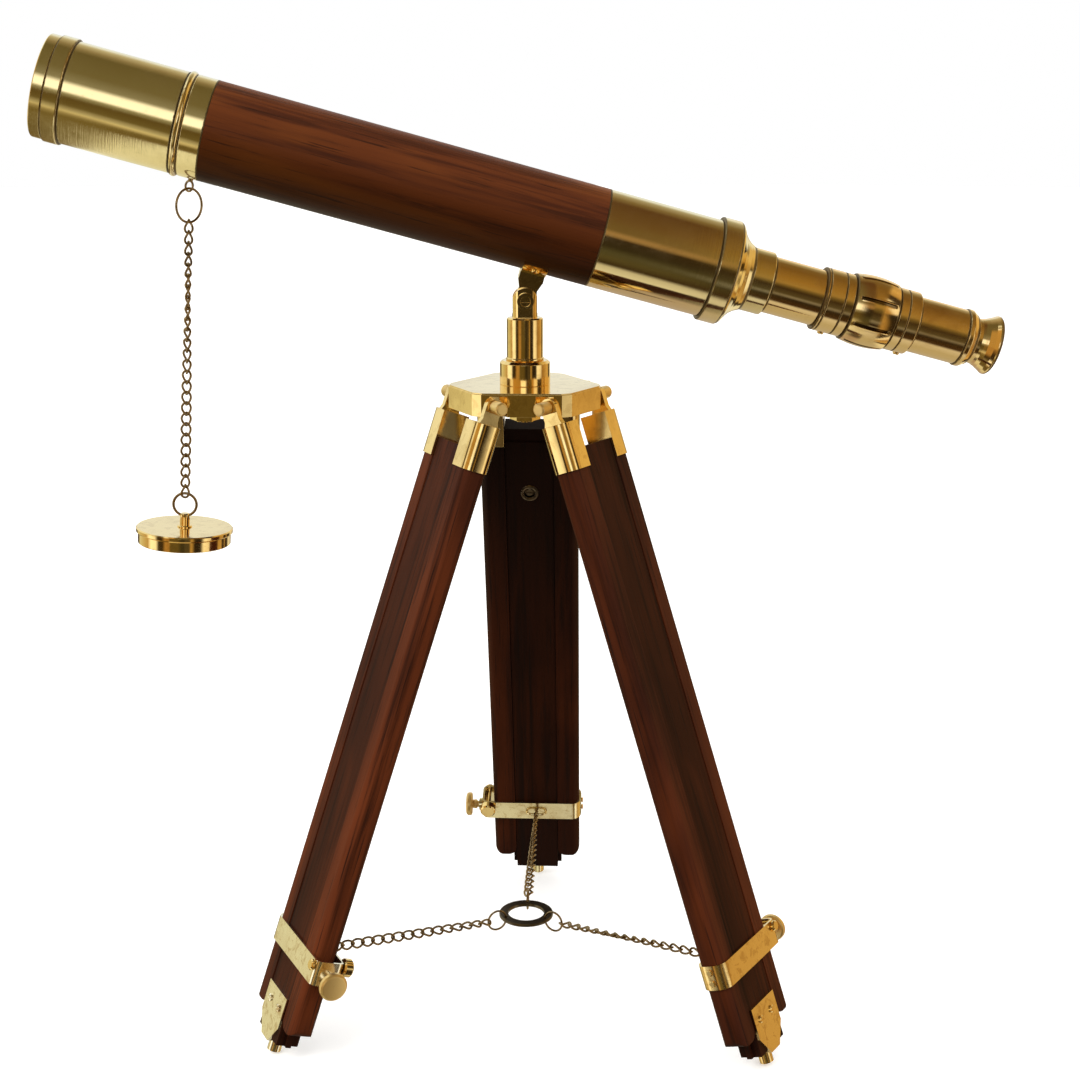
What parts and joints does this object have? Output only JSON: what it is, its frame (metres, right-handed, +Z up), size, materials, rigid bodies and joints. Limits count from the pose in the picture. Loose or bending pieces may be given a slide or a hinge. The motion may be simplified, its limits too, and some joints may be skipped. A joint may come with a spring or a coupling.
{
  "type": "telescope on tripod",
  "caption": "Brass draw telescope with a wooden main tube on a pan and tilt head, folding three-slat wooden legs, spreader chains and a lens cap on a chain.",
  "frame": {"origin": "on the floor, under the middle of the whole part's bounding box", "axes": "+Z up; the objective points towards -X and the eyepiece towards +X, turned by the rest pan; one leg stands behind, towards +Y"},
  "size_m": [0.4364, 0.2341, 0.4628],
  "materials": {
    "polished_brass": "mirror-polished lacquered brass",
    "aged_brass": "unlacquered brass, dulled and browned",
    "dark_brass": "dark oxidised brass",
    "black_brass": "blackened inside, against stray light",
    "tube_wood": "glossy lacquered reddish-brown hardwood with dark streaks",
    "leg_wood": "satin lacquered dark rosewood",
    "glass": "clear coated optical glass"
  },
  "bodies": {
    "head": {"head_plate": "polished_brass", "rear_leg_pin": "polished_brass", "left_leg_pin": "polished_brass", "right_leg_pin": "polished_brass"},
    "post": {"turning_post": "polished_brass", "tilt_screw": "polished_brass", "tilt_nut": "polished_brass", "post_nut": "polished_brass"},
    "telescope": {"objective_cell": "polished_brass", "objective_lens": "glass", "lens_retainer": "polished_brass", "sunshade_barrel": "polished_brass", "front_ferrule": "polished_brass", "wood_tube": "tube_wood", "baffle_tube": "black_brass", "rear_barrel": "polished_brass", "draw_collar": "polished_brass", "cap_hook": "aged_brass", "tube_saddle": "polished_brass", "saddle_screws": "polished_brass"},
    "draw": {"draw_tube": "polished_brass", "erector_cell": "black_brass", "erector_lenses": "glass", "grip_barrel": "polished_brass", "grip_screws": "polished_brass"},
    "eyepiece": {"eyepiece_tube": "polished_brass", "eyepiece_lenses": "glass", "eyecup": "polished_brass"},
    "hanger": {"hanger_ring": "aged_brass"},
    "cap_chain": {"cap_chain": "aged_brass"},
    "cap": {"lens_cap": "polished_brass"},
    "spreader": {"spreader_ring": "dark_brass"},
    "rear_leg": {"rear_outer_slats": "leg_wood", "rear_ferrules": "polished_brass", "rear_band": "polished_brass", "rear_band_rivets": "polished_brass"},
    "rear_lower_leg": {"rear_centre_slat": "leg_wood", "rear_slat_eyelet": "polished_brass", "rear_shoe": "polished_brass"},
    "rear_thumb_screw": {"rear_thumb_screw": "polished_brass"},
    "rear_chain": {"rear_chain": "aged_brass"},
    "left_leg": {"left_outer_slats": "leg_wood", "left_ferrules": "polished_brass", "left_band": "polished_brass", "left_band_rivets": "polished_brass"},
    "left_lower_leg": {"left_centre_slat": "leg_wood", "left_slat_eyelet": "polished_brass", "left_shoe": "polished_brass"},
    "left_thumb_screw": {"left_thumb_screw": "polished_brass"},
    "left_chain": {"left_chain": "aged_brass"},
    "right_leg": {"right_outer_slats": "leg_wood", "right_ferrules": "polished_brass", "right_band": "polished_brass", "right_band_rivets": "polished_brass"},
    "right_lower_leg": {"right_centre_slat": "leg_wood", "right_slat_eyelet": "polished_brass", "right_shoe": "polished_brass"},
    "right_thumb_screw": {"right_thumb_screw": "polished_brass"},
    "right_chain": {"right_chain": "aged_brass"}
  },
  "joints": [
    {"name": "pan", "type": "hinge", "parent": "head", "child": "post", "pos_m": [-0.00306, -0.02111, 0.31927], "axis": [0, 0, 1], "continuous": true},
    {"name": "tilt", "type": "hinge", "parent": "post", "child": "telescope", "pos_m": [-0.00306, -0.02111, 0.34647], "axis": [-0.1045, 0.9945, 0], "range_deg": [-35, 35]},
    {"name": "draw_slide", "type": "slide", "parent": "telescope", "child": "draw", "axis": [0.9593, 0.1008, -0.2639], "range_m": [-0.024, 0.03]},
    {"name": "eyepiece_focus", "type": "slide", "parent": "draw", "child": "eyepiece", "axis": [0.9593, 0.1008, -0.2639], "range_m": [-0.012, 0.006]},
    {"name": "hanger_hang", "type": "hinge", "parent": "telescope", "child": "hanger", "pos_m": [-0.15133, -0.03669, 0.39698], "axis": [-0.1045, 0.9945, 0], "range_deg": [-36, 36]},
    {"name": "chain_swing", "type": "hinge", "parent": "hanger", "child": "cap_chain", "pos_m": [-0.15229, -0.03679, 0.38211], "axis": [-0.1045, 0.9945, 0], "range_deg": [-8, 8]},
    {"name": "cap_swing", "type": "hinge", "parent": "cap_chain", "child": "cap", "pos_m": [-0.16093, -0.0377, 0.24769], "axis": [0.9924, 0.1043, -0.0645], "range_deg": [-15, 15]},
    {"name": "rear_leg_fold", "type": "hinge", "parent": "head", "child": "rear_leg", "pos_m": [-0.00306, 0.00529, 0.30256], "axis": [-1, 0, 0], "range_deg": [0, 19.6], "deforming": ["rear_chain", "left_chain", "right_chain"]},
    {"name": "rear_leg_extension", "type": "slide", "parent": "rear_leg", "child": "rear_lower_leg", "axis": [0, 0.3355, -0.9421], "range_m": [0, 0.12]},
    {"name": "rear_clamp_turn", "type": "hinge", "parent": "rear_leg", "child": "rear_thumb_screw", "pos_m": [-0.03351, 0.09586, 0.04821], "axis": [-1, 0, 0], "continuous": true},
    {"name": "rear_chain_swing", "type": "hinge", "parent": "rear_leg", "child": "rear_chain", "pos_m": [-0.00306, 0.08587, 0.04677], "axis": [-1, 0, 0], "range_deg": [-102.92, 0]},
    {"name": "left_leg_fold", "type": "hinge", "parent": "head", "child": "left_leg", "pos_m": [-0.02592, -0.03431, 0.30256], "axis": [0.5, -0.866, 0], "range_deg": [0, 19.6]},
    {"name": "left_leg_extension", "type": "slide", "parent": "left_leg", "child": "left_lower_leg", "axis": [-0.2905, -0.1677, -0.9421], "range_m": [0, 0.12]},
    {"name": "left_clamp_turn", "type": "hinge", "parent": "left_leg", "child": "left_thumb_screw", "pos_m": [-0.08914, -0.10596, 0.04821], "axis": [0.5, -0.866, 0], "continuous": true},
    {"name": "left_chain_swing", "type": "hinge", "parent": "left_leg", "child": "left_chain", "pos_m": [-0.0957, -0.07459, 0.04677], "axis": [0.5, -0.866, 0], "range_deg": [-102.92, 0]},
    {"name": "right_leg_fold", "type": "hinge", "parent": "head", "child": "right_leg", "pos_m": [0.0198, -0.03431, 0.30256], "axis": [0.5, 0.866, 0], "range_deg": [0, 19.6]},
    {"name": "right_leg_extension", "type": "slide", "parent": "right_leg", "child": "right_lower_leg", "axis": [0.2905, -0.1677, -0.9421], "range_m": [0, 0.12]},
    {"name": "right_clamp_turn", "type": "hinge", "parent": "right_leg", "child": "right_thumb_screw", "pos_m": [0.11347, -0.05322, 0.04821], "axis": [0.5, 0.866, 0], "continuous": true},
    {"name": "right_chain_swing", "type": "hinge", "parent": "right_leg", "child": "right_chain", "pos_m": [0.08958, -0.07459, 0.04677], "axis": [0.5, 0.866, 0], "range_deg": [-102.92, 0]},
    {"name": "spreader_drop", "type": "slide", "parent": "head", "child": "spreader", "axis": [0, 0, 1], "range_m": [-0.10226, 0]}
  ],
  "couplings": [
    {"joint": "hanger_hang", "follows": "tilt", "ratio": -1},
    {"joint": "rear_chain_swing", "follows": "rear_leg_fold", "ratio": -5.2253},
    {"joint": "left_leg_fold", "follows": "rear_leg_fold", "ratio": 1},
    {"joint": "left_chain_swing", "follows": "rear_leg_fold", "ratio": -5.2253},
    {"joint": "right_leg_fold", "follows": "rear_leg_fold", "ratio": 1},
    {"joint": "right_chain_swing", "follows": "rear_leg_fold", "ratio": -5.2253},
    {"joint": "spreader_drop", "follows": "rear_leg_fold", "m_per_rad": -0.296}
  ]
}
